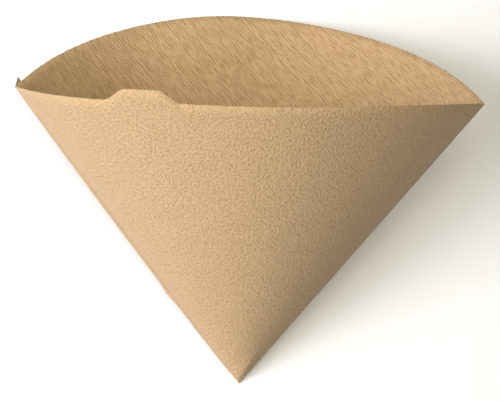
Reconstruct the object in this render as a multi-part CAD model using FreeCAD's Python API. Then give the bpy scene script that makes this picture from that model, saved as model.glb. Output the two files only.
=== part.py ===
import FreeCAD, Part
import math
import os

# Paper coffee filter for a cone dripper, opened out and lying on its rear wall.
# Millimetres and degrees. +X runs from the seam side to the fold side, +Y from the tip to the mouth and
# +Z up. The flat strip of the rear wall lies on Z = 0, and the origin is on its middle line, below the
# filter's centre of weight. While the shape is built, the tip is at the origin.
#
# Each wall is a quarter circle of paper that bends only across the straight lines through the tip, as a
# sheet does. It is a row of patches with one bend each. A patch is what a section of the sheet leaves
# behind as it turns about an axis through the tip, so it is part of a round cone, or flat where the bend is
# zero. Neighbouring patches share their tangent.

Vec = FreeCAD.Vector

# the flat sheet
SLANT = 117.0                    # from the tip to the plain rim
WALL_ANGLE = 90.0                # of the flat sheet, in each wall
PAPER = 0.25                     # thickness of one layer

# how far it is opened, and how the walls bend
MOUTH_ANGLE = 72.3               # at the tip, between the fold and the seam
REST_STRIP_FROM_SEAM = 37.0      # sheet angle from the seam to the middle of the rear wall's flat strip
REST_STRIP_ANGLE = 12.0          # width of the flat strip that the filter lies on
REST_POINT = 61.0                # from the tip to the origin, along the strip
REAR_CROWN = 1.25                # how much rounder the rear wall is in its middle than at its sides
FRONT_CROWN = 0.31               # the same for the front wall
FRONT_SKEW = -0.19               # how much rounder the front wall is by the fold than by the seam
EDGE_ANGLE = 2.0                 # flat margin of each wall beside the seam and the fold
PATCH_ANGLE = 8.0                # widest patch with one bend

# pull tab on the front rim
TAB_FROM_SEAM = 30.2             # sheet angle from the seam to the tab's middle
TAB_BASE = 24.0
TAB_TOP = 11.5
TAB_HEIGHT = 4.5

# crimped seam band, folded back behind the rear wall
BAND_WIDTH = 6.0
BAND_THICKNESS = 2.0 * PAPER
BAND_SPRING = 22.0               # angle by which the band springs off the rear wall
BAND_LIP = 0.25                  # how far the band's fold stands out past the wall at its ends
BAND_BOW = 0.7                   # how much further it stands out at half length
BAND_START = 4.0                 # lower end of the band, along the seam
BAND_TAPER = 28.0                # length over which the lower end is cut off slantwise
BAND_EAR = 1.0                   # how far the band's free corner reaches past the rim
BAND_ROOT = 1.2                  # width over which the band is joined to the walls

HOLLOW_START = 8.0               # the layers are pressed together from the tip up to here

TAB_POINT_ANGLE = 1.0            # spacing of the points of the tab's rim

HALF = WALL_ANGLE / 2.0
STRIP_MIDDLE = REST_STRIP_FROM_SEAM - HALF
STRIP_LOW = STRIP_MIDDLE - REST_STRIP_ANGLE / 2.0
STRIP_HIGH = STRIP_MIDDLE + REST_STRIP_ANGLE / 2.0
TAB_MIDDLE = TAB_FROM_SEAM - HALF
TAB_LOW = TAB_MIDDLE - math.degrees(TAB_BASE / 2.0 / SLANT)
TAB_HIGH = TAB_MIDDLE + math.degrees(TAB_BASE / 2.0 / SLANT)

TIP = Vec(0, 0, 0)
LYING = (Vec(0, 1, 0), Vec(1, 0, 0), Vec(0, 0, -1))   # line, tangent and normal at the rest strip's middle


def turn(frame, bend, angle):
    """Carries a frame (line, tangent, normal) on by an angle of the flat sheet."""
    axis = frame[2] - frame[0] * bend
    swing = FreeCAD.Rotation(axis, angle * axis.Length)
    return tuple(swing.multVec(v) for v in frame)


class Patch:
    """One stretch of a wall with one bend."""

    def __init__(self, low, high, bend, frame, outward):
        self.low = low
        self.high = high
        self.frame = frame
        self.outward = outward
        self.axis = frame[2] - frame[0] * bend

    def at(self, s):
        """Line and outward normal at a sheet angle."""
        swing = FreeCAD.Rotation(self.axis, (s - self.low) * self.axis.Length)
        return swing.multVec(self.frame[0]), swing.multVec(self.frame[2]) * self.outward

    def point(self, s, r, deep=0.0):
        """Point at a sheet angle and a distance from the tip, this deep below the outer skin."""
        line, out = self.at(s)
        return line * r - out * deep

    def swept(self, a, b):
        """Face that the straight line from a to b leaves behind as it turns through the patch."""
        return Part.makeLine(a, b).revolve(TIP, self.axis, (self.high - self.low) * self.axis.Length)

    def arc(self, r, deep):
        """Arc across the patch at a distance from the tip."""
        middle = (self.low + self.high) / 2.0
        points = [self.point(s, r, deep) for s in (self.low, middle, self.high)]
        return Part.Arc(*points).toShape()


def patch_angles(whole):
    """Sheet angles between patches: the ends of the whole ones, and even steps between them."""
    found = [whole[0][0]]
    for low, high in whole:
        gap = low - found[-1]
        count = int(math.ceil(gap / PATCH_ANGLE - 1e-9))
        found += [found[-1] + gap * (i + 1) / count for i in range(count)]
        found.append(high)
    return found


MARGINS = ((-HALF, -HALF + EDGE_ANGLE), (HALF - EDGE_ANGLE, HALF))
REAR_ANGLES = patch_angles([MARGINS[0], (STRIP_LOW, STRIP_HIGH), MARGINS[1]])
FRONT_ANGLES = patch_angles([MARGINS[0], (TAB_LOW, TAB_HIGH), MARGINS[1]])


def rear_bend(mean, s):
    """Bend of the rear wall at a sheet angle, for a mean bend."""
    if abs(s) > HALF - EDGE_ANGLE or STRIP_LOW < s < STRIP_HIGH:
        return 0.0
    return mean - REAR_CROWN * ((s / HALF) ** 2 - 1.0 / 3.0)


def front_bend(mean, s):
    """Bend of the front wall, which bends the other way."""
    if abs(s) > HALF - EDGE_ANGLE:
        return 0.0
    return FRONT_CROWN * ((s / HALF) ** 2 - 1.0 / 3.0) - FRONT_SKEW * s / HALF - mean


def wall(angles, bend, mean, outward, frame=LYING):
    """Row of patches from the seam to the fold, starting with this frame at the seam."""
    patches = []
    for low, high in zip(angles, angles[1:]):
        amount = bend(mean, (low + high) / 2.0)
        patches.append(Patch(low, high, amount, frame, outward))
        frame = turn(frame, amount, high - low)
    return patches


def sides(patches):
    """Lines of a wall along the seam and along the fold."""
    return patches[0].at(-HALF)[0], patches[-1].at(HALF)[0]


def settle(angles, bend):
    """Mean bend that brings the two sides of a wall to the mouth angle, by halving."""
    low, high = 0.2, 3.0
    for _ in range(45):
        mean = (low + high) / 2.0
        seam, fold = sides(wall(angles, bend, mean, 1.0))
        if math.degrees(seam.getAngle(fold)) > MOUTH_ANGLE:
            low = mean
        else:
            high = mean
    return mean


def triad(a, b):
    """Three square axes built on two directions."""
    across = (b - a).normalize()
    along = (a + b).normalize()
    return across, along, across.cross(along)


def carried(source, target):
    """The starting frame after the turn that brings one set of square axes onto another."""
    return tuple(target[0] * v.dot(source[0]) + target[1] * v.dot(source[1]) + target[2] * v.dot(source[2])
                 for v in LYING)


def open_sheet():
    """The rear wall on its rest strip and the front wall above it, with their sides together."""
    mean = settle(REAR_ANGLES, rear_bend)
    loose = wall(REAR_ANGLES, rear_bend, mean, 1.0)
    strip = [p for p in loose if p.low <= STRIP_MIDDLE <= p.high][0]
    rear = wall(REAR_ANGLES, rear_bend, mean, 1.0,
                carried(turn(strip.frame, 0.0, STRIP_MIDDLE - strip.low), LYING))
    mean = settle(FRONT_ANGLES, front_bend)
    source = triad(*sides(wall(FRONT_ANGLES, front_bend, mean, -1.0)))
    front = wall(FRONT_ANGLES, front_bend, mean, -1.0, carried(source, triad(*sides(rear))))
    return rear, front


REAR, FRONT = open_sheet()
SEAM_LINE, FOLD_LINE = sides(REAR)


def polygon(points):
    return Part.Face(Part.makePolygon(points + points[:1]))


def closed_wire(edges):
    return Part.Wire(Part.__sortEdges__(edges))


def tab_rim(s):
    """Distance from the tip to the rim within the tab, whose shoulders are S-shaped."""
    off = math.radians(abs(s - TAB_MIDDLE)) * SLANT
    share = (TAB_BASE / 2.0 - off) / (TAB_BASE / 2.0 - TAB_TOP / 2.0)
    share = min(max(share, 0.0), 1.0)
    return SLANT + TAB_HEIGHT * (1.0 - math.cos(math.pi * share)) / 2.0


def tab_faces(patch):
    """Both skins and the cut edge of the patch that carries the pull tab."""
    count = int(math.ceil((patch.high - patch.low) / TAB_POINT_ANGLE))
    angles = [patch.low + (patch.high - patch.low) * i / count for i in range(count + 1)]
    faces = []
    rims = []
    for deep, foot in ((0.0, 0.0), (PAPER, HOLLOW_START)):
        rim = Part.BSplineCurve()
        rim.interpolate([patch.point(s, tab_rim(s), deep) for s in angles])
        edges = [rim.toShape()]
        for s in (patch.low, patch.high):
            edges.append(Part.makeLine(patch.point(s, foot, deep), patch.point(s, SLANT, deep)))
        if foot > 0.0:
            edges.append(patch.arc(foot, deep))
        cone = patch.swept(patch.point(patch.low, foot, deep), patch.point(patch.low, SLANT, deep)).Surface
        face = Part.Face(cone, closed_wire(edges))
        face.validate()
        faces.append(face)
        rims.append(edges[0])
    return faces + [Part.makeRuledSurface(rims[0], rims[1])]


def curved_faces(patch):
    """Both skins and the cut edge of a patch with a plain rim."""
    outer = patch.point(patch.low, SLANT)
    inner = patch.point(patch.low, SLANT, PAPER)
    foot = patch.point(patch.low, HOLLOW_START, PAPER)
    return [patch.swept(TIP, outer), patch.swept(foot, inner), patch.swept(outer, inner)]


def mitre_point(margin, s, r):
    """Where both inner skins meet along the seam or the fold, level with r in the flat margin."""
    line, out = margin.at(s)
    other = (FRONT[0] if s < 0 else FRONT[-1]).at(s)[1]
    step = (out + other) * (-PAPER / (1.0 + out.dot(other)))
    level = (margin.at(margin.high)[0] - margin.at(margin.low)[0]).cross(out)
    return line * (r - step.dot(level) / line.dot(level)) + step


def margin_faces(patch, rear_margin, s):
    """Both skins and the cut edge of a flat margin, and the end of its inner skin."""
    near = patch.high if s < 0 else patch.low
    outer = [patch.point(near, SLANT), patch.point(s, SLANT)]
    inner = [patch.point(near, SLANT, PAPER), mitre_point(rear_margin, s, SLANT)]
    foot = [patch.point(near, HOLLOW_START, PAPER), mitre_point(rear_margin, s, HOLLOW_START)]
    faces = [polygon([TIP] + outer), polygon(inner + foot[::-1]), polygon(outer + inner[::-1])]
    return faces, Part.makeLine(foot[0], foot[1])


def wall_faces(patches):
    """All faces of a wall, and the edges round the bottom of the hollow."""
    faces = []
    ring = []
    for place, patch in enumerate(patches):
        if place in (0, len(patches) - 1):
            s = -HALF if place == 0 else HALF
            found, edge = margin_faces(patch, REAR[0] if place == 0 else REAR[-1], s)
            faces += found
            ring.append(edge)
            continue
        if patches is FRONT and patch.low < TAB_MIDDLE < patch.high:
            faces += tab_faces(patch)
        else:
            faces += curved_faces(patch)
        ring.append(patch.arc(HOLLOW_START, PAPER))
    return faces, ring


def solid_of(faces):
    """Sews faces into one solid."""
    shell = Part.Shell(faces)
    shell.sewShape()
    solid = Part.Solid(shell.Shells[0])
    if solid.Volume < 0:
        solid.reverse()
    if not (shell.isClosed() and solid.isValid()):
        raise RuntimeError("the faces don't close")
    return solid


def paper_cone():
    """Both walls with the fold, the tab and the pressed tip.

    The bottom of the hollow is part of a ball about the tip, because the foot of the inner skin is at one
    distance from it.
    """
    rear_faces, rear_ring = wall_faces(REAR)
    front_faces, front_ring = wall_faces(FRONT)
    ball = Part.Sphere()
    ball.Radius = math.hypot(HOLLOW_START, PAPER)
    bottom = Part.Face(ball, closed_wire(rear_ring + front_ring))
    bottom.validate()
    return solid_of(rear_faces + front_faces + [bottom])


def band_point(corner, r):
    """Point of the seam band's cross-section at a distance along the seam.

    The band leaves the seam outwards, turns round its fold and runs back behind the rear wall.
    """
    normal, other = REAR[0].at(-HALF)[1], FRONT[0].at(-HALF)[1]
    out = (REAR[0].frame[1] + FRONT[0].frame[1]).normalize() * -1.0
    back = SEAM_LINE.cross(out).normalize()
    if back.dot(normal) < 0:
        back = back * -1.0
    half_wedge = (math.pi - normal.getAngle(other)) / 2.0
    lean = math.pi - half_wedge - math.radians(BAND_SPRING)
    along = out * math.cos(lean) + back * math.sin(lean)
    across = out * -math.sin(lean) + back * math.cos(lean)
    share = r / SLANT
    fold = SEAM_LINE * r + out * (BAND_LIP + BAND_BOW * 4.0 * share * (1.0 - share))
    root = SEAM_LINE * r - out * (PAPER / 2.0)
    return {"root": root,
            "fold": fold,
            "edge": fold + along * BAND_WIDTH,
            "edge_inside": fold + along * BAND_WIDTH + across * BAND_THICKNESS,
            "root_inside": root + along * BAND_ROOT}[corner]


CORNERS = ("root", "fold", "edge", "edge_inside", "root_inside")


def cut_at(corner, origin, normal):
    """Distance along the seam at which a corner's line passes through a plane, by halving."""
    low, high = 0.2, SLANT + 8.0
    for _ in range(45):
        r = (low + high) / 2.0
        if (band_point(corner, r) - origin).dot(normal) < 0:
            low = r
        else:
            high = r
    return r


def slanted_normal(rise):
    """Normal of a plane across the band that climbs along the seam by this much over its width."""
    across = band_point("edge", SLANT) - band_point("fold", SLANT)
    thick = band_point("edge_inside", SLANT) - band_point("edge", SLANT)
    normal = (across + SEAM_LINE * rise).cross(thick).normalize()
    return normal if normal.dot(SEAM_LINE) > 0 else normal * -1.0


def rail(corner, low, high):
    """Line of one corner, a curve of second degree through its ends and its middle."""
    a, m, b = (band_point(corner, r) for r in (low, (low + high) / 2.0, high))
    curve = Part.BezierCurve()
    curve.setPoles([a, m * 2.0 - (a + b) * 0.5, b])
    return curve.toShape()


def seam_band():
    """The crimped double layer, ruled between the lines of its corners and cut off at both ends."""
    rails = []
    for corner in CORNERS:
        low = cut_at(corner, SEAM_LINE * BAND_START, slanted_normal(BAND_TAPER))
        high = cut_at(corner, SEAM_LINE * SLANT, slanted_normal(BAND_EAR))
        rails.append(rail(corner, low, high))
    faces = [Part.makeRuledSurface(a, b) for a, b in zip(rails, rails[1:] + rails[:1])]
    for end in (0, -1):
        faces.append(polygon([edge.Vertexes[end].Point for edge in rails]))
    return solid_of(faces)


def filter_paper():
    """The whole filter as one piece of paper."""
    whole = paper_cone().fuse(seam_band())
    if len(whole.Solids) != 1 or not whole.isValid():
        raise RuntimeError("the filter is not one valid solid")
    solid = whole.Solids[0]
    solid.translate(Vec(0, -REST_POINT, 0))
    return solid


def main():
    os.makedirs("parts", exist_ok=True)
    solid = filter_paper()
    solid.exportStep("parts/filter_paper.step")
    box = solid.BoundBox
    print("volume", round(solid.Volume, 1), "faces", len(solid.Faces), "centre", solid.CenterOfMass)
    print("box", box)


if __name__ == "__main__":
    main()
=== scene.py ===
import math

import bpy
import numpy as np
from bpy.props import FloatProperty, FloatVectorProperty, IntProperty, PointerProperty
from mathutils import Matrix, Vector


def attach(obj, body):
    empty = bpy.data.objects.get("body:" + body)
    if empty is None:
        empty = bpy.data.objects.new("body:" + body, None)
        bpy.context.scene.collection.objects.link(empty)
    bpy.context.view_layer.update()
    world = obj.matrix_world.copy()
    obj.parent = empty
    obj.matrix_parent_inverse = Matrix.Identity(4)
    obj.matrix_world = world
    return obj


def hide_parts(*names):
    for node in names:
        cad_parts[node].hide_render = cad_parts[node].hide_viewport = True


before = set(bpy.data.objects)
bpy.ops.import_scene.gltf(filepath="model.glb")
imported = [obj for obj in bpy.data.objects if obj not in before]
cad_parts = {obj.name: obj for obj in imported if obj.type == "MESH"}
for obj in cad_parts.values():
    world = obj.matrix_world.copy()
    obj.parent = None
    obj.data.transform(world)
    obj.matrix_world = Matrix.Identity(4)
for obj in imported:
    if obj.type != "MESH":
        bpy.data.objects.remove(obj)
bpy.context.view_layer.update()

bl_info = {
    "name": "Paper coffee filter",
    "version": (1, 0, 0),
    "blender": (4, 5, 0),
    "location": "View3D > Sidebar > Coffee filter",
    "description": "Builds the paper of an opened cone filter, its seam band and a plain stage",
    "category": "Add Mesh",
}

# Angles of the flat sheet are counted in degrees inside each wall, from -45 at the seam to 45 at the fold.
HALF = 45.0
PATCH_ANGLE = 8.0        # widest patch of one bend, in degrees of the sheet
STRIP_EASE = 16.0        # the slack rises over this many degrees on both sides of the rest strip
START_FRAME = np.array([[0.0, 1.0, 0.0], [1.0, 0.0, 0.0], [0.0, 0.0, -1.0]])  # line, tangent, their cross product

# Shapes are worked out in millimetres, and made metres in closed_mesh.
MM = 1000.0
TIP_START = 0.3          # the outer skin starts this far from the tip
HOLLOW_START = 8.0       # the layers are pressed together from the tip up to here
RIM_BULGE = 0.03         # the cut edge is this much rounder than straight across
CREASE_COLUMNS = 3       # mesh columns in the rounded crease at the fold and at the seam
SLACK_REACH = 117.0      # distance from the tip at which the slack has its full height
CREASE_HALF_WIDTH = 3.0  # of the tip crease
SWELLING = (0.42, 36.5, 3.2)  # height, distance from the tip and width of the bulge in the band's fold

# Fixed seeds of the uneven lines.
RIM_SEED, FRONT_SEED, REAR_SEED = 5, 11, 23

# The point attribute "inside" is 0 on the outer skin and 1 on the inner skin. Half way it gives the cut edge's colour,
# the bare fibres' colour with painted shade.
INNER_SKIN, EDGE_FIBRES_AND_SHADE, BAND_SKIN = 1.0, 0.5, 0.32


class FilterSheetSizes(bpy.types.PropertyGroup):
    """The cut sheet and how far it is opened."""

    slant: FloatProperty(
        name="Slant", description="Length of paper from the tip to the plain rim",
        default=0.117, min=0.05, subtype="DISTANCE", unit="LENGTH")
    paper: FloatProperty(
        name="Paper", description="Thickness of one layer",
        default=0.00025, min=0.00005, precision=5, subtype="DISTANCE", unit="LENGTH")
    mouth_angle: FloatProperty(
        name="Mouth angle", description="Angle at the tip between the seam and the fold",
        default=math.radians(72.3), subtype="ANGLE", unit="ROTATION")
    rear_crown: FloatProperty(
        name="Rear crown", description="How much rounder the rear wall is in its middle than at its sides",
        default=1.25)
    front_crown: FloatProperty(
        name="Front crown", description="How much rounder the front wall is in its middle than at its sides",
        default=0.31)
    front_skew: FloatProperty(
        name="Front skew", description="How much rounder the front wall is by the fold than by the seam",
        default=-0.19)
    strip_middle: FloatProperty(
        name="Rest strip", description="Sheet angle of the middle of the flat strip that the filter lies on",
        default=math.radians(-8.0), subtype="ANGLE", unit="ROTATION")
    strip_width: FloatProperty(
        name="Strip width", description="Sheet angle across the flat strip",
        default=math.radians(12.0), subtype="ANGLE", unit="ROTATION")
    margin: FloatProperty(
        name="Margin", description="Flat sheet angle of each wall beside the seam and the fold",
        default=math.radians(2.0), subtype="ANGLE", unit="ROTATION")
    rest_point: FloatProperty(
        name="Rest point", description="Distance from the tip to the point of the strip that lies at the origin",
        default=0.061, subtype="DISTANCE", unit="LENGTH")
    tab_middle: FloatProperty(
        name="Tab place", description="Sheet angle of the pull tab's middle",
        default=math.radians(-14.8), subtype="ANGLE", unit="ROTATION")
    tab_base: FloatProperty(
        name="Tab base", description="Width of the pull tab where it leaves the rim",
        default=0.024, subtype="DISTANCE", unit="LENGTH")
    tab_seam_shoulder: FloatProperty(
        name="Shoulder by the seam", description="Width of the tab's longer S-shaped shoulder",
        default=0.0094, subtype="DISTANCE", unit="LENGTH")
    tab_fold_shoulder: FloatProperty(
        name="Shoulder by the fold", description="Width of the tab's shorter S-shaped shoulder",
        default=0.0060, subtype="DISTANCE", unit="LENGTH")
    tab_height: FloatProperty(
        name="Tab height", description="How far the pull tab stands past the rim",
        default=0.0043, subtype="DISTANCE", unit="LENGTH")
    rim_wander: FloatProperty(
        name="Rim wander", description="How far the cut rim wanders in and out with the crepe",
        default=0.00007, precision=5, subtype="DISTANCE", unit="LENGTH")
    wave: FloatProperty(
        name="Slack", description="Height of the slow waves in the walls",
        default=0.00028, precision=5, subtype="DISTANCE", unit="LENGTH")
    crease_turn: FloatProperty(
        name="Crease turn", description="Direction of the tip crease on the sheet, from the wall's middle line",
        default=math.radians(22.5), subtype="ANGLE", unit="ROTATION")
    crease_offset: FloatProperty(
        name="Crease offset", description="How far the tip crease passes beside the tip",
        default=0.00145, precision=5, subtype="DISTANCE", unit="LENGTH")
    crease_height: FloatProperty(
        name="Crease height", description="How far the tip crease stands up",
        default=0.0006, precision=5, subtype="DISTANCE", unit="LENGTH")
    columns: IntProperty(name="Columns", description="Mesh columns in each wall", default=400, min=20)
    rows: IntProperty(name="Rows", description="Mesh rows from the tip to the rim", default=50, min=8)


class SeamBandSizes(bpy.types.PropertyGroup):
    """The crimped double layer along the seam, folded back behind the rear wall."""

    width: FloatProperty(
        name="Width", description="From the fold of the band to its free edge",
        default=0.006, subtype="DISTANCE", unit="LENGTH")
    spring: FloatProperty(
        name="Spring", description="Angle by which the band springs off the rear wall",
        default=math.radians(22.0), subtype="ANGLE", unit="ROTATION")
    lip: FloatProperty(
        name="Lip", description="How far the band's fold stands out past the wall at its ends",
        default=0.00025, precision=5, subtype="DISTANCE", unit="LENGTH")
    bow: FloatProperty(
        name="Bow", description="How much further the fold stands out at half length",
        default=0.0007, precision=5, subtype="DISTANCE", unit="LENGTH")
    start: FloatProperty(
        name="Start", description="Distance from the tip to the band's lower end",
        default=0.004, subtype="DISTANCE", unit="LENGTH")
    taper: FloatProperty(
        name="Taper", description="Length over which the lower end is cut off slantwise",
        default=0.028, subtype="DISTANCE", unit="LENGTH")
    ear: FloatProperty(
        name="Ear", description="How far the free corner reaches past the rim",
        default=0.001, subtype="DISTANCE", unit="LENGTH")
    crimp_pitch: FloatProperty(
        name="Crimp pitch", description="Distance between two crimp marks along the band",
        default=0.0016, precision=4, subtype="DISTANCE", unit="LENGTH")
    crimp_depth: FloatProperty(
        name="Crimp depth", description="Depth of the crimp marks",
        default=0.00009, precision=5, subtype="DISTANCE", unit="LENGTH")


class PaperFinish(bpy.types.PropertyGroup):
    """Colour and surface of the unbleached paper."""

    colour: FloatVectorProperty(
        name="Paper", description="Colour of the unbleached paper",
        default=(0.535, 0.366, 0.204), size=3, min=0.0, max=1.0, subtype="COLOR")
    dark: FloatVectorProperty(
        name="Cloudy patches", description="Colour of the cloudy patches",
        default=(0.495, 0.335, 0.178), size=3, min=0.0, max=1.0, subtype="COLOR")
    # Painted shade: the hollows of the crepe ridges and the pits of the grain take this darker colour.
    hollow: FloatVectorProperty(
        name="Hollows", description="Colour in the hollows of the crepe and the grain",
        default=(0.36, 0.226, 0.104), size=3, min=0.0, max=1.0, subtype="COLOR")
    # Bare fibres' colour with painted shade: used on the cut edge, along the fold, at the seam band's top end and for
    # a fifth of the band's colour.
    cut: FloatVectorProperty(
        name="Cut edge", description="Colour of the cut edge's bare fibres",
        default=(0.30, 0.205, 0.125), size=3, min=0.0, max=1.0, subtype="COLOR")
    ridge_period: FloatProperty(
        name="Ridge period", description="Distance between two crepe ridges on the inside",
        default=0.00078, precision=5, subtype="DISTANCE", unit="LENGTH")
    ridge_height: FloatProperty(
        name="Ridge height", description="Height of the crepe ridges on the inside",
        default=0.00038, precision=5, subtype="DISTANCE", unit="LENGTH")
    grain_height: FloatProperty(
        name="Grain height", description="Height of the pebbled grain on the outside",
        default=0.00045, precision=5, subtype="DISTANCE", unit="LENGTH")


class StageSettings(bpy.types.PropertyGroup):
    """Floor, lights and camera."""

    floor_colour: FloatVectorProperty(
        name="Floor", description="Colour of the plain floor",
        default=(0.91, 0.93, 0.97), size=3, min=0.0, max=1.0, subtype="COLOR")
    key_power: FloatProperty(name="Key light", description="Power of the soft light on the left", default=13.3)
    top_power: FloatProperty(name="Top light", description="Power of the soft light overhead", default=5.8)
    back_power: FloatProperty(name="Back light", description="Power of the weak light behind the mouth", default=0.7)
    sky: FloatProperty(name="Sky", description="Strength of the even light from all round", default=0.1)
    lens: FloatProperty(name="Lens", description="Focal length in millimetres on a 36 mm frame", default=109.564)


def turned(rows, axis, angles):
    """Three vectors turned about an axis by each of some angles.

    Formula: v cos(a) + (k x v) sin(a) + k (k.v) (1 - cos(a)), with k the axis at unit length.
    """
    k = axis / np.linalg.norm(axis)
    c = np.cos(angles)[:, None, None]
    s = np.sin(angles)[:, None, None]
    return rows[None] * c + np.cross(k, rows)[None] * s + (rows @ k)[None, :, None] * k * (1.0 - c)


class Wall:
    """One wall of the opened sheet, a quarter circle of paper that bends only across lines through the tip.

    It is a row of patches with one bend each. Over a patch the frame (line, tangent, their cross product)
    turns evenly about the axis product - bend * line, by the axis' length per radian of flat sheet.
    """

    def __init__(self, edges, bends, side):
        self.edges = edges
        self.bends = bends
        self.side = side
        self.placing = np.eye(3)

    def frames(self, s):
        """Lines, tangents and outward normals at some sheet angles, each an array of vectors."""
        flat = np.clip(np.ravel(s), self.edges[0], self.edges[-1])
        rows = START_FRAME
        found = np.empty((flat.size, 3, 3))
        for low, high, bend in zip(self.edges, self.edges[1:], self.bends):
            axis = rows[2] - bend * rows[0]
            rate = np.linalg.norm(axis)
            inside = (flat >= low) & (flat <= high)
            found[inside] = turned(rows, axis, np.radians(flat[inside] - low) * rate)
            rows = turned(rows, axis, np.radians(np.array([high - low])) * rate)[0]
        found = found @ self.placing
        shape = np.shape(s) + (3,)
        return (found[:, 0].reshape(shape), found[:, 1].reshape(shape),
                (found[:, 2] * self.side).reshape(shape))


def patch_edges(sizes, low, high):
    """Sheet angles between patches: the flat margins and one whole stretch, and even steps between them."""
    margin = math.degrees(sizes.margin)
    edges = [-HALF]
    for start, end in ((-HALF, margin - HALF), (low, high), (HALF - margin, HALF)):
        last = edges[-1]
        gap = start - last
        count = math.ceil(gap / PATCH_ANGLE - 1e-9)
        edges.extend(last + gap * (i + 1) / count for i in range(count))
        edges.append(end)
    return np.array(edges)


def settled(make, mouth_angle):
    """The wall whose mean bend brings its two sides to the mouth angle, found by halving."""
    low, high = 0.2, 3.0
    for _ in range(45):
        mean = (low + high) / 2.0
        ends = make(mean).frames(np.array([-HALF, HALF]))[0]
        if math.acos(float(ends[0] @ ends[1])) > mouth_angle:
            low = mean
        else:
            high = mean
    return make(mean)


def side_axes(wall):
    """Three square axes built on a wall's two side lines."""
    a, b = wall.frames(np.array([-HALF, HALF]))[0]
    across = (b - a) / np.linalg.norm(b - a)
    along = (a + b) / np.linalg.norm(a + b)
    return np.array([across, along, np.cross(across, along)])


def opened_sheet(sizes):
    """The rear wall lying on its flat strip, and the front wall above it with their sides together."""
    strip_low = math.degrees(sizes.strip_middle - sizes.strip_width / 2.0)
    strip_high = math.degrees(sizes.strip_middle + sizes.strip_width / 2.0)
    reach = sizes.tab_base / sizes.slant / 2.0
    tab_low = math.degrees(sizes.tab_middle - reach)
    tab_high = math.degrees(sizes.tab_middle + reach)
    rear_edges = patch_edges(sizes, strip_low, strip_high)
    front_edges = patch_edges(sizes, tab_low, tab_high)
    margin = HALF - math.degrees(sizes.margin)

    def rear_wall(mean):
        middles = (rear_edges[1:] + rear_edges[:-1]) / 2.0
        bends = mean - sizes.rear_crown * ((middles / HALF) ** 2 - 1.0 / 3.0)
        bends[((middles > strip_low) & (middles < strip_high)) | (np.abs(middles) > margin)] = 0.0
        return Wall(rear_edges, bends, 1.0)

    def front_wall(mean):
        u = (front_edges[1:] + front_edges[:-1]) / 2.0 / HALF
        bends = sizes.front_crown * (u * u - 1.0 / 3.0) - mean - sizes.front_skew * u
        bends[np.abs(u) > margin / HALF] = 0.0
        return Wall(front_edges, bends, -1.0)

    rear = settled(rear_wall, sizes.mouth_angle)
    line, tangent, outward = rear.frames(math.degrees(sizes.strip_middle))
    rear.placing = np.linalg.inv(np.array([line, tangent, outward])) @ START_FRAME
    front = settled(front_wall, sizes.mouth_angle)
    front.placing = side_axes(front).T @ side_axes(rear)
    return rear, front


def smooth_step(x):
    """0 below 0, 1 above 1 and (1 - cos(pi x)) / 2 between them."""
    return (1.0 - np.cos(np.pi * np.clip(x, 0.0, 1.0))) / 2.0


def wander(x, seed, waves=9):
    """A smooth uneven line: a sum of sines with fixed random wave lengths and phases, within about 1."""
    rng = np.random.default_rng(seed)
    rates = rng.uniform(0.5, 3.2, waves)
    phases = rng.uniform(0.0, 2.0 * np.pi, waves)
    return np.sin(np.multiply.outer(x, rates) + phases).sum(-1) / math.sqrt(waves)


def rim_radius(sizes, s):
    """Distance from the tip to the cut rim in millimetres: the slant, with a slight wander."""
    return sizes.slant * MM + sizes.rim_wander * MM * wander(np.asarray(s) * 2.6, RIM_SEED)


def front_rim(sizes, s):
    """The plain rim, raised by the pull tab: height * rise over one shoulder * fall over the other."""
    off = (np.radians(s) - sizes.tab_middle) * sizes.slant
    half = sizes.tab_base / 2.0
    share = smooth_step((off + half) / sizes.tab_seam_shoulder) * smooth_step((half - off) / sizes.tab_fold_shoulder)
    return rim_radius(sizes, s) + sizes.tab_height * MM * share


def corner_line(rear, front, s):
    """Line, both outward normals and the angle inside the sheet along the seam (-45) or the fold (45)."""
    line, _, rear_out = rear.frames(s)
    front_out = front.frames(s)[2]
    angle = math.pi - math.acos(float(rear_out @ front_out))
    return line, rear_out, front_out, angle


def slack(sizes, s, r, seed):
    """Slow waves of a wall: they run from the tip to the rim and die out at the sides and at the tip."""
    share = (1.0 - (s / HALF) ** 2) ** 2 * (r / SLACK_REACH) ** 1.5
    waves = wander(s * 0.085, seed, 5) + 0.35 * wander(s * 0.06 + r * 0.03, seed + 1, 5)
    return sizes.wave * MM * waves * share


def tip_crease(sizes, s, r):
    """A short straight crease over the front wall's tip, where the filter was pressed flat.

    Formula: height * (1 - |d| / 3 mm) * fade(r), with d the distance on the sheet from the crease's line.
    It rises from 1.5 mm off the tip, dies out between 9 mm and 18 mm, and fades over 12 degrees at the sides.
    """
    across, along = r * np.sin(np.radians(s)), r * np.cos(np.radians(s))
    off = (across * math.cos(sizes.crease_turn) - along * math.sin(sizes.crease_turn)
           + sizes.crease_offset * MM)
    fade = smooth_step((r - 1.5) / 3.0) * (1.0 - smooth_step((r - 9.0) / 9.0))
    side = np.clip((HALF - np.abs(s)) / 12.0, 0.0, 1.0)
    return sizes.crease_height * MM * np.clip(1.0 - np.abs(off) / CREASE_HALF_WIDTH, 0.0, 1.0) \
        * fade * side


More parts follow.
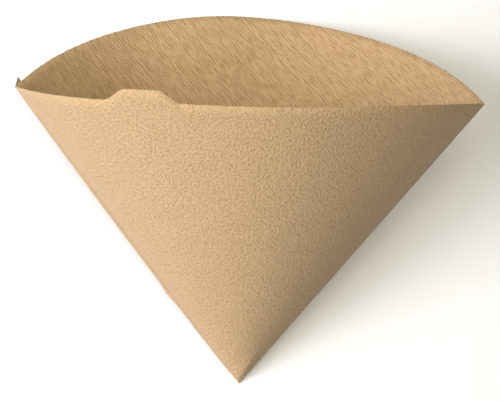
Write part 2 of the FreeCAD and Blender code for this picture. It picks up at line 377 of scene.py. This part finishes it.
def wall_skin(sizes, wall, other, r, columns, depth, seed):
    """A wall's skin as a grid of points: r * line(s) - (depth - lift) * outward(s), in millimetres.

    The lift is the wall's slack, with the tip crease on the front wall and without it on the rest strip.
    The sheet angle s goes from side to side and stops short of both corners, to leave room for the
    rounded crease: s = p (45 - margin), the margin being the crease's width seen from the tip.
    """
    angle = corner_line(wall, other, HALF)[3]
    crease = 0.3 if depth == 0.0 else 0.12 + depth / math.tan(angle / 2.0)
    margin = np.minimum(np.degrees(crease / np.maximum(r, 0.05)), 9.0)
    s = columns[:, None] * (HALF - margin)
    line, _, outward = wall.frames(s)
    lift = slack(sizes, s, r, seed)
    lift = lift + tip_crease(sizes, s, r) if wall.side < 0 else lift * strip_share(sizes, s)
    return r[..., None] * line + (lift - depth)[..., None] * outward, s


def strip_share(sizes, s):
    """0 on the flat strip that lies on the floor, rising to 1 over 16 degrees on both sides."""
    off = np.abs(s - math.degrees(sizes.strip_middle)) - math.degrees(sizes.strip_width) / 2.0
    return smooth_step(off / STRIP_EASE)


def crease_columns(start, corner, end, count):
    """Columns between two walls on the curve (1-u)^2 start + 2u(1-u) corner + u^2 end."""
    u = (np.arange(1, count + 1) / (count + 1.0))[:, None, None]
    return (1.0 - u) ** 2 * start + 2.0 * u * (1.0 - u) * corner + u * u * end


def cone_ring(sizes, rear, front, front_r, rear_r, depth):
    """All columns of one skin, once round the filter: front wall, fold, rear wall back, seam.

    Returns the points and the flat sheet's own coordinates, which are measured from the fold line.
    """
    p = np.linspace(-1.0, 1.0, sizes.columns)
    front_skin, front_s = wall_skin(sizes, front, rear, front_r, p, depth, FRONT_SEED)
    rear_skin, rear_s = wall_skin(sizes, rear, front, rear_r, p[::-1], depth, REAR_SEED)
    corners = []
    for s, r in ((HALF, (front_r[-1] + rear_r[0]) / 2.0), (-HALF, (front_r[0] + rear_r[-1]) / 2.0)):
        line, rear_out, front_out, _ = corner_line(rear, front, s)
        inward = (rear_out + front_out) / (1.0 + float(rear_out @ front_out))
        corners.append(r[:, None] * line - depth * inward)
    count = CREASE_COLUMNS
    fold = crease_columns(front_skin[-1], corners[0], rear_skin[0], count)
    seam = crease_columns(rear_skin[-1], corners[1], front_skin[0], count)
    rings = np.concatenate([front_skin, fold, rear_skin, seam])
    front_turn, rear_turn = front_s - HALF, HALF - rear_s
    share = (np.arange(1, count + 1) / (count + 1.0))[:, None]
    fold_turn = front_turn[-1] + (rear_turn[0] - front_turn[-1]) * share
    seam_turn = rear_turn[-1] + np.full((count + 1, 1), 0.4) * np.arange(1, count + 2)[:, None]
    turn = np.concatenate([front_turn, fold_turn, rear_turn, seam_turn])
    radius = np.concatenate([front_r, np.repeat(front_r[-1:], count, 0), rear_r,
                             np.repeat(rear_r[-1:], count + 1, 0)])
    flats = np.stack([radius * np.sin(np.radians(turn)), radius * np.cos(np.radians(turn))], -1)
    return rings, flats


def paper_cone_grid(sizes):
    """The paper of both walls as one closed grid.

    Its rows run up the outer skin from the tip to the rim, over the cut edge and down the inner skin.
    """
    rear, front = opened_sheet(sizes)
    depth = sizes.paper * MM
    p = np.linspace(-1.0, 1.0, sizes.columns) * HALF
    front_top = front_rim(sizes, p)[:, None]
    rear_top = sizes.slant * 400.0 + 0.6 * rim_radius(sizes, p[::-1])[:, None]  # with 0.6 of the wander
    outer = np.linspace(0.0, 1.0, sizes.rows)[None, :] ** 1.35
    inner = np.linspace(1.0, 0.0, sizes.rows - 4)[None, :]
    tip, hollow = TIP_START, HOLLOW_START
    skins = [cone_ring(sizes, rear, front, tip + (front_top - tip) * outer, tip + (rear_top - tip) * outer, 0.0)]
    over = np.array([[RIM_BULGE, RIM_BULGE]])
    edge = cone_ring(sizes, rear, front, front_top + over, rear_top + over, depth * 0.5)
    skins.append((edge[0][:, :1], edge[1][:, :1]))
    skins.append(cone_ring(sizes, rear, front, hollow + (front_top - hollow) * inner,
                           hollow + (rear_top - hollow) * inner, depth))
    points = np.concatenate([skin[0] for skin in skins], 1)
    flats = np.concatenate([skin[1] for skin in skins], 1)
    inside = np.zeros(points.shape[:2])
    inside[:, sizes.rows:] = INNER_SKIN
    # the cut edge: bare fibres' colour with painted shade
    inside[:, sizes.rows] = EDGE_FIBRES_AND_SHADE
    # Painted shade along the fold crease: the cut edge's dark colour, where the fold turns away from the light.
    inside[sizes.columns - 3:sizes.columns + 4, 3:sizes.rows] = EDGE_FIBRES_AND_SHADE  # the dark line along the fold
    return points, flats, inside


def band_section(sizes, band, rear, front, r, crimp):
    """Closed outline of the band's cross-section at each distance r from the tip along the seam.

    It leaves the front wall's skin, turns round the band's fold on the curve
    (1-u)^3 a + 3u(1-u)^2 b + 3u^2 (1-u) c + u^3 d, runs back behind the rear wall as two layers with a
    groove between them at the free edge, and closes inside the sheet.
    """
    seam, rear_tangent, rear_out = rear.frames(-HALF)
    _, front_tangent, front_out = front.frames(-HALF)
    out = -(rear_tangent + front_tangent)
    out = out / np.linalg.norm(out)
    back = np.cross(seam, out)
    back = back / np.linalg.norm(back)
    back = back if back @ rear_out > 0 else -back
    inner_angle = corner_line(rear, front, -HALF)[3]
    lean = math.pi - inner_angle / 2.0 - band.spring
    along = out * math.cos(lean) + back * math.sin(lean)
    across = -out * math.sin(lean) + back * math.cos(lean)
    paper = sizes.paper * MM
    width = band.width * MM
    share = r / (sizes.slant * MM)
    lip = band.lip * MM + band.bow * MM * 4.0 * share * (1.0 - share)
    height, place, spread = SWELLING
    lip = lip + height * np.exp(-((r - place) / spread) ** 2)
    base = seam * r[:, None]
    fold = base + out * lip[:, None]
    u = np.linspace(0.0, 1.0, 8)[None, :, None]
    a = base + front_tangent * 1.1 - front_out * 0.02
    b = base + front_tangent * 0.1 + out * (lip * 0.9)[:, None] + front_out * 0.05
    c = fold - along * 0.05
    d = fold + along * 0.9
    turn_round = ((1.0 - u) ** 3 * a[:, None] + 3.0 * u * (1.0 - u) ** 2 * b[:, None]
                  + 3.0 * u * u * (1.0 - u) * c[:, None] + u ** 3 * d[:, None])
    run = np.array([1.8, 2.8, 3.8, 4.8, width - 0.3, width, width, width - 0.15, width, width, width - 0.3, 4.8,
                    3.8, 2.8, 1.8])
    rise = np.array([0.0, 0.0, 0.0, 0.0, 0.0, 0.08, 0.42, 0.5, 0.58, 0.92, 1.0, 1.0, 1.0, 1.0, 1.0]) * 2.0 * paper
    sign = np.array([1.0, 1.0, 1.0, 1.0, 0.4, 0.0, 0.0, 0.0, 0.0, 0.0, -0.4, -1.0, -1.0, -1.0, -1.0])
    lift = rise[None, :] + crimp[:, None] * sign[None, :]
    flap = fold[:, None] + along * run[:, None] + across * lift[..., None]
    hidden = np.stack([base + rear_tangent * 0.9 - rear_out * 0.12,
                       base - (rear_out + front_out) * 0.1,
                       base + front_tangent * 1.1 - front_out * 0.12], 1)
    section = np.concatenate([turn_round, flap, hidden], 1)
    reach = np.concatenate([np.linspace(0.0, 0.15, 8), run / width, [0.1, 0.0, 0.0]])
    return section, reach


def seam_band_grid(sizes, band):
    """The band as a closed grid: its section carried along the seam and cut off slantwise at both ends."""
    rear, front = opened_sheet(sizes)
    slant = sizes.slant * MM
    width = band.width * MM
    count = 420
    v = np.linspace(0.0, 1.0, count)
    start, taper, ear = band.start * MM, band.taper * MM, band.ear * MM
    middle = start + (slant - start) * v
    pitch, depth = band.crimp_pitch * MM, band.crimp_depth * MM
    crimp = depth * np.clip(np.cos(2.0 * np.pi * middle / pitch) * 1.6, -1.0, 1.0)
    section, reach = band_section(sizes, band, rear, front, middle, crimp)
    line = rear.frames(-HALF)[0]
    shift = taper * reach[None, :] * (1.0 - v[:, None]) ** 3 + ear * reach[None, :] * v[:, None] ** 4
    section = section + line * shift[..., None]
    radius = middle[:, None] + shift
    flats = np.stack([radius, np.broadcast_to(reach * width, radius.shape) + 3.0], -1)
    return section.transpose(1, 0, 2), flats.transpose(1, 0, 2)


def closed_mesh(name, points, flats, inside):
    """Makes a mesh of a grid that closes round its columns, with a fan over each end.

    points has columns, rows and coordinates in millimetres. flats holds the sheet's own coordinates, with
    one more column than points where the pattern doesn't meet itself.
    """
    columns, rows = points.shape[:2]
    centres = np.stack([points[:, 0].mean(0), points[:, -1].mean(0)])
    verts = np.concatenate([points.reshape(-1, 3), centres])
    number = np.arange(columns * rows).reshape(columns, rows)
    after = np.roll(number, -1, 0)
    quads = np.stack([number[:, :-1], after[:, :-1], after[:, 1:], number[:, 1:]], -1).reshape(-1, 4)
    first, last = columns * rows, columns * rows + 1
    low_fan = np.stack([after[:, 0], number[:, 0], np.full(columns, first)], -1)
    high_fan = np.stack([number[:, -1], after[:, -1], np.full(columns, last)], -1)
    if flats.shape[0] == columns:
        flats = np.concatenate([flats, flats[:1]])
    here, there = flats[:-1], flats[1:]
    quad_uv = np.stack([here[:, :-1], there[:, :-1], there[:, 1:], here[:, 1:]], 2).reshape(-1, 2)
    low_uv = np.stack([there[:, 0], here[:, 0], (there[:, 0] + here[:, 0]) / 2.0], 1).reshape(-1, 2)
    high_uv = np.stack([here[:, -1], there[:, -1], (there[:, -1] + here[:, -1]) / 2.0], 1).reshape(-1, 2)
    triangles = np.concatenate([quads[:, [0, 1, 2]], quads[:, [0, 2, 3]], low_fan, high_fan])
    a, b, c = (verts[triangles[:, i]] for i in range(3))
    volume = float(np.einsum("ij,ij->i", a, np.cross(b, c)).sum()) / 6.0
    faces = [quads, low_fan, high_fan]
    uvs = [quad_uv.reshape(-1, 4, 2), low_uv.reshape(-1, 3, 2), high_uv.reshape(-1, 3, 2)]
    if volume < 0.0:
        faces = [f[:, ::-1] for f in faces]
        uvs = [u[:, ::-1] for u in uvs]
    corners = np.concatenate([f.reshape(-1) for f in faces])
    sizes = np.concatenate([np.full(len(f), f.shape[1]) for f in faces])
    mesh = bpy.data.meshes.new(name)
    mesh.vertices.add(len(verts))
    mesh.vertices.foreach_set("co", (verts * 0.001).astype(np.float32).ravel())
    mesh.loops.add(len(corners))
    mesh.loops.foreach_set("vertex_index", corners.astype(np.int32))
    mesh.polygons.add(len(sizes))
    mesh.polygons.foreach_set("loop_start", (np.cumsum(sizes) - sizes).astype(np.int32))
    mesh.update(calc_edges=True)
    layer = mesh.uv_layers.new(name="sheet")
    layer.uv.foreach_set("vector", np.concatenate([u.reshape(-1, 2) for u in uvs]).astype(np.float32).ravel() / 100.0)
    side = mesh.attributes.new("inside", "FLOAT", "POINT")
    values = np.concatenate([inside.ravel(), inside[0, [0, -1]]])
    side.data.foreach_set("value", values.astype(np.float32))
    mesh.shade_smooth()
    if mesh.validate(clean_customdata=False):
        raise RuntimeError(name + " has faulty faces")
    return mesh


def piece_from(name, points, flats, inside, material, origin):
    """Puts a grid into the scene as an object at the origin, with its place in its mesh."""
    mesh = closed_mesh(name, points - np.array([0.0, origin * MM, 0.0]), flats, inside)
    mesh.materials.append(material)
    piece = bpy.data.objects.new(name, mesh)
    bpy.context.scene.collection.objects.link(piece)
    return piece


def node(tree, kind, place, **values):
    """Adds a node at a place of the sheet, with its settings and its unlinked inputs."""
    made = tree.nodes.new(kind)
    made.location = place
    for name, value in values.items():
        if hasattr(made, name):
            setattr(made, name, value)
        else:
            made.inputs[name.replace("_", " ")].default_value = value
    return made


def unbleached_paper(finish):
    """Brown creped paper: ridges across the fold line inside, a pebbled grain outside, cloudy fibres."""
    material = bpy.data.materials.get("unbleached_paper")
    if material:
        return material
    material = bpy.data.materials.new("unbleached_paper")
    material.use_nodes = True
    tree = material.node_tree
    tree.nodes.clear()
    link = tree.links.new
    sheet = node(tree, "ShaderNodeUVMap", (-1500, 0), uv_map="sheet")
    side = node(tree, "ShaderNodeAttribute", (-1500, -500), attribute_name="inside")
    per = 0.1 / finish.ridge_period

    # crepe ridges: long thin swellings across the fold line, bent a little by a slow noise, over even waves
    bend = node(tree, "ShaderNodeTexNoise", (-1300, 300), Scale=30.0, Detail=2.0, Roughness=0.5)
    link(sheet.outputs["UV"], bend.inputs["Vector"])
    shift = node(tree, "ShaderNodeVectorMath", (-1100, 300), operation="MULTIPLY_ADD")
    shift.inputs[1].default_value = (0.009, 0.009, 0.0)
    link(bend.outputs["Color"], shift.inputs[0])
    link(sheet.outputs["UV"], shift.inputs[2])
    waves = node(tree, "ShaderNodeTexWave", (-900, 300), wave_type="BANDS", bands_direction="Y",
                 wave_profile="SIN", Scale=per * math.pi / 10.0, Distortion=0.0, Detail=0.0)
    link(shift.outputs["Vector"], waves.inputs["Vector"])
    stretch = node(tree, "ShaderNodeMapping", (-1100, 60), vector_type="POINT")
    stretch.inputs["Scale"].default_value = (26.0, per * 1.15, 1.0)
    link(shift.outputs["Vector"], stretch.inputs["Vector"])
    broken = node(tree, "ShaderNodeTexNoise", (-900, 60), Scale=1.0, Detail=2.0, Roughness=0.6)
    link(stretch.outputs["Vector"], broken.inputs["Vector"])
    ridges = node(tree, "ShaderNodeMix", (-650, 250), data_type="FLOAT")
    ridges.inputs["Factor"].default_value = 0.8
    link(waves.outputs["Fac"], ridges.inputs[2])
    link(broken.outputs["Fac"], ridges.inputs[3])

    # pebbled grain
    grain = node(tree, "ShaderNodeTexNoise", (-900, -200), Scale=125.0, Detail=2.5, Roughness=0.6)
    link(sheet.outputs["UV"], grain.inputs["Vector"])
    fibres = node(tree, "ShaderNodeTexNoise", (-900, -450), Scale=420.0, Detail=2.0, Roughness=0.6)
    link(sheet.outputs["UV"], fibres.inputs["Vector"])

    # height of both sides
    inner_height = node(tree, "ShaderNodeMath", (-450, 250), operation="MULTIPLY")
    inner_height.inputs[1].default_value = finish.ridge_height / 0.0001
    link(ridges.outputs[0], inner_height.inputs[0])
    outer_height = node(tree, "ShaderNodeMath", (-450, -100), operation="MULTIPLY")
    outer_height.inputs[1].default_value = finish.grain_height / 0.0001
    link(grain.outputs["Fac"], outer_height.inputs[0])
    height = node(tree, "ShaderNodeMix", (-250, 100), data_type="FLOAT")
    link(side.outputs["Fac"], height.inputs["Factor"])
    link(outer_height.outputs[0], height.inputs[2])
    link(inner_height.outputs[0], height.inputs[3])
    fine = node(tree, "ShaderNodeMath", (-80, 0), operation="MULTIPLY_ADD")
    fine.inputs[1].default_value = 0.15
    link(fibres.outputs["Fac"], fine.inputs[0])
    link(height.outputs[0], fine.inputs[2])
    bump = node(tree, "ShaderNodeBump", (120, -100), Strength=1.0, Distance=0.0001)
    link(fine.outputs[0], bump.inputs["Height"])

    # colour: cloudy patches and finer mottle, with painted shade in the hollows of the crepe and the grain, and the
    # cut edge's colour with painted shade on the cut edge and along the fold
    clouds = node(tree, "ShaderNodeTexNoise", (-900, 600), Scale=14.0, Detail=4.0, Roughness=0.65)
    link(sheet.outputs["UV"], clouds.inputs["Vector"])
    mottle = node(tree, "ShaderNodeMix", (-650, 550), data_type="FLOAT")
    mottle.inputs["Factor"].default_value = 0.5
    link(clouds.outputs["Fac"], mottle.inputs[2])
    link(fibres.outputs["Fac"], mottle.inputs[3])
    ramp = node(tree, "ShaderNodeValToRGB", (-450, 550))
    ramp.color_ramp.elements[0].position = 0.38
    ramp.color_ramp.elements[0].color = (*finish.dark, 1.0)
    ramp.color_ramp.elements[1].position = 0.60
    ramp.color_ramp.elements[1].color = (*finish.colour, 1.0)
    link(mottle.outputs[0], ramp.inputs["Fac"])
    # painted shade in the hollows: the low parts of the ridges inside and of the grain outside go toward the hollows'
    # colour
    crepe_shade_relief = node(tree, "ShaderNodeMath", (-650, 900), operation="MULTIPLY_ADD")
    crepe_shade_relief.inputs[1].default_value = 1.7
    crepe_shade_relief.inputs[2].default_value = -0.33
    link(ridges.outputs[0], crepe_shade_relief.inputs[0])
    hollow_shade_relief = node(tree, "ShaderNodeMix", (-450, 900), data_type="FLOAT")
    link(side.outputs["Fac"], hollow_shade_relief.inputs["Factor"])
    link(grain.outputs["Fac"], hollow_shade_relief.inputs[2])
    link(crepe_shade_relief.outputs[0], hollow_shade_relief.inputs[3])
    depth = node(tree, "ShaderNodeMapRange", (-250, 900))
    depth.inputs["From Min"].default_value = 0.28
    depth.inputs["From Max"].default_value = 0.58
    link(hollow_shade_relief.outputs[0], depth.inputs["Value"])
    shaded = node(tree, "ShaderNodeMix", (-50, 700), data_type="RGBA")
    shaded.inputs[6].default_value = (*finish.hollow, 1.0)
    link(depth.outputs["Result"], shaded.inputs["Factor"])
    link(ramp.outputs["Color"], shaded.inputs[7])
    centred = node(tree, "ShaderNodeMath", (-450, 1150), operation="MULTIPLY_ADD")
    centred.inputs[1].default_value = 2.0
    centred.inputs[2].default_value = -1.0
    link(side.outputs["Fac"], centred.inputs[0])
    away = node(tree, "ShaderNodeMath", (-250, 1150), operation="ABSOLUTE")
    link(centred.outputs[0], away.inputs[0])
    rim = node(tree, "ShaderNodeMapRange", (-50, 1150))
    rim.inputs["From Min"].default_value = 0.0
    rim.inputs["From Max"].default_value = 0.45
    link(away.outputs[0], rim.inputs["Value"])
    # painted shade with the bare fibres' colour where "inside" is near half way: the cut edge, the fold line, the
    # band's top end and, for a fifth, the band
    edge_fibres_and_shade_mix = node(tree, "ShaderNodeMix", (150, 800), data_type="RGBA")
    edge_fibres_and_shade_mix.inputs[6].default_value = (*finish.cut, 1.0)
    link(rim.outputs["Result"], edge_fibres_and_shade_mix.inputs["Factor"])
    link(shaded.outputs[2], edge_fibres_and_shade_mix.inputs[7])

    paper = node(tree, "ShaderNodeBsdfPrincipled", (400, 200), Roughness=0.82)
    paper.inputs["Specular IOR Level"].default_value = 0.25
    paper.inputs["Sheen Weight"].default_value = 0.12
    paper.inputs["Sheen Roughness"].default_value = 0.6
    link(edge_fibres_and_shade_mix.outputs[2], paper.inputs["Base Color"])
    link(bump.outputs["Normal"], paper.inputs["Normal"])
    result = node(tree, "ShaderNodeOutputMaterial", (700, 200))
    link(paper.outputs["BSDF"], result.inputs["Surface"])
    return material


def stage_material(colour):
    """Plain matt floor."""
    material = bpy.data.materials.new("studio_floor")
    material.use_nodes = True
    plain = material.node_tree.nodes["Principled BSDF"]
    plain.inputs["Base Color"].default_value = (*colour, 1.0)
    plain.inputs["Roughness"].default_value = 0.9
    return material


class FILTER_OT_paper_cone(bpy.types.Operator):
    """Builds the paper of both walls, with the pull tab and the fold"""

    bl_idname = "coffee_filter.paper_cone"
    bl_label = "Paper cone"
    bl_options = {"REGISTER", "UNDO"}

    def execute(self, context):
        scene = context.scene
        sizes = scene.filter_sheet
        points, flats, inside = paper_cone_grid(sizes)
        piece = piece_from("paper_cone", points, flats, inside, unbleached_paper(scene.filter_paper_finish),
                           sizes.rest_point)
        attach(piece, "root")
        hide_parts("filter_paper")
        return {"FINISHED"}


class FILTER_OT_seam_band(bpy.types.Operator):
    """Builds the crimped seam band behind the rear wall"""

    bl_idname = "coffee_filter.seam_band"
    bl_label = "Seam band"
    bl_options = {"REGISTER", "UNDO"}

    def execute(self, context):
        scene = context.scene
        sizes, band = scene.filter_sheet, scene.filter_seam_band
        points, flats = seam_band_grid(sizes, band)
        # The band takes a fifth of the cut edge's colour, with its painted shade, and its top end takes all of it.
        side = np.full(points.shape[:2], BAND_SKIN)
        side[:, -2:] = EDGE_FIBRES_AND_SHADE
        piece = piece_from("seam_band", points, flats, side, unbleached_paper(scene.filter_paper_finish),
                           sizes.rest_point)
        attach(piece, "root")
        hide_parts("filter_paper")
        return {"FINISHED"}


def area_light(name, place, target, size, power, colour):
    """A square soft light that faces a point."""
    data = bpy.data.lights.new(name, "AREA")
    data.shape = "SQUARE"
    data.size = size
    data.energy = power
    data.color = colour
    lamp = bpy.data.objects.new(name, data)
    lamp.location = place
    lamp.rotation_euler = (Vector(target) - Vector(place)).to_track_quat("-Z", "Y").to_euler()
    bpy.context.scene.collection.objects.link(lamp)
    return lamp


class FILTER_OT_stage(bpy.types.Operator):
    """Lays the floor and sets up the lights and the camera"""

    bl_idname = "coffee_filter.stage"
    bl_label = "Stage"
    bl_options = {"REGISTER", "UNDO"}

    def execute(self, context):
        scene = context.scene
        stage = scene.filter_stage
        mesh = bpy.data.meshes.new("studio_floor")
        side = 3.0
        mesh.from_pydata([(-side, -side, -0.0002), (side, -side, -0.0002), (side, side, -0.0002),
                          (-side, side, -0.0002)], [], [(0, 1, 2, 3)])
        mesh.materials.append(stage_material(stage.floor_colour))
        floor = bpy.data.objects.new("studio_floor", mesh)
        scene.collection.objects.link(floor)
        area_light("key_light", (-0.86, -0.02, 0.605), (0.0, 0.0, 0.04), 0.55, stage.key_power, (1.0, 0.99, 1.02))
        area_light("top_light", (-0.1, 0.1, 1.04), (0.0, 0.0, 0.04), 0.45, stage.top_power, (1.0, 0.94, 0.75))
        area_light("back_light", (0.15, 0.92, 0.48), (0.0, 0.0, 0.04), 0.45, stage.back_power, (1.0, 1.0, 1.0))
        world = bpy.data.worlds.new("studio_sky")
        world.use_nodes = True
        sky = world.node_tree.nodes["Background"]
        sky.inputs["Color"].default_value = (1.0, 0.93, 0.80, 1.0)
        sky.inputs["Strength"].default_value = stage.sky
        scene.world = world
        data = bpy.data.cameras.new("camera")
        data.lens = stage.lens
        data.sensor_width = 36.0
        data.sensor_fit = "HORIZONTAL"
        camera = bpy.data.objects.new("camera", data)
        forward = Vector((0.244783, 0.049755, -0.968300))
        up = Vector((0.074245, 0.994788, 0.069885))
        across = forward.cross(up).normalized()
        up = across.cross(forward)
        camera.matrix_world = Matrix.LocRotScale(
            Vector((-0.109671, -0.027692, 0.468992)),
            Matrix((across, up, -forward)).transposed(), None)
        scene.collection.objects.link(camera)
        scene.camera = camera
        scene.view_settings.view_transform = "Standard"
        return {"FINISHED"}


class FILTER_PT_panel(bpy.types.Panel):
    """Lists the steps in the sidebar"""

    bl_idname = "FILTER_PT_panel"
    bl_label = "Coffee filter"
    bl_space_type = "VIEW_3D"
    bl_region_type = "UI"
    bl_category = "Coffee filter"

    def draw(self, context):
        layout = self.layout
        for group in ("filter_sheet", "filter_seam_band", "filter_paper_finish", "filter_stage"):
            box = layout.box()
            settings = getattr(context.scene, group)
            for name in settings.bl_rna.properties.keys():
                if name not in ("rna_type", "name"):
                    box.prop(settings, name)
        for step in STEPS:
            layout.operator(step.bl_idname)


STEPS = (FILTER_OT_paper_cone, FILTER_OT_seam_band, FILTER_OT_stage)
GROUPS = {
    "filter_sheet": FilterSheetSizes,
    "filter_seam_band": SeamBandSizes,
    "filter_paper_finish": PaperFinish,
    "filter_stage": StageSettings,
}


def register():
    for kind in (*GROUPS.values(), *STEPS, FILTER_PT_panel):
        bpy.utils.register_class(kind)
    for name, kind in GROUPS.items():
        setattr(bpy.types.Scene, name, PointerProperty(type=kind))


def unregister():
    for name in GROUPS:
        delattr(bpy.types.Scene, name)
    for kind in reversed((*GROUPS.values(), *STEPS, FILTER_PT_panel)):
        bpy.utils.unregister_class(kind)


def main():
    register()
    bpy.ops.coffee_filter.paper_cone()
    bpy.ops.coffee_filter.seam_band()
    bpy.ops.coffee_filter.stage()


if __name__ == "__main__":
    main()
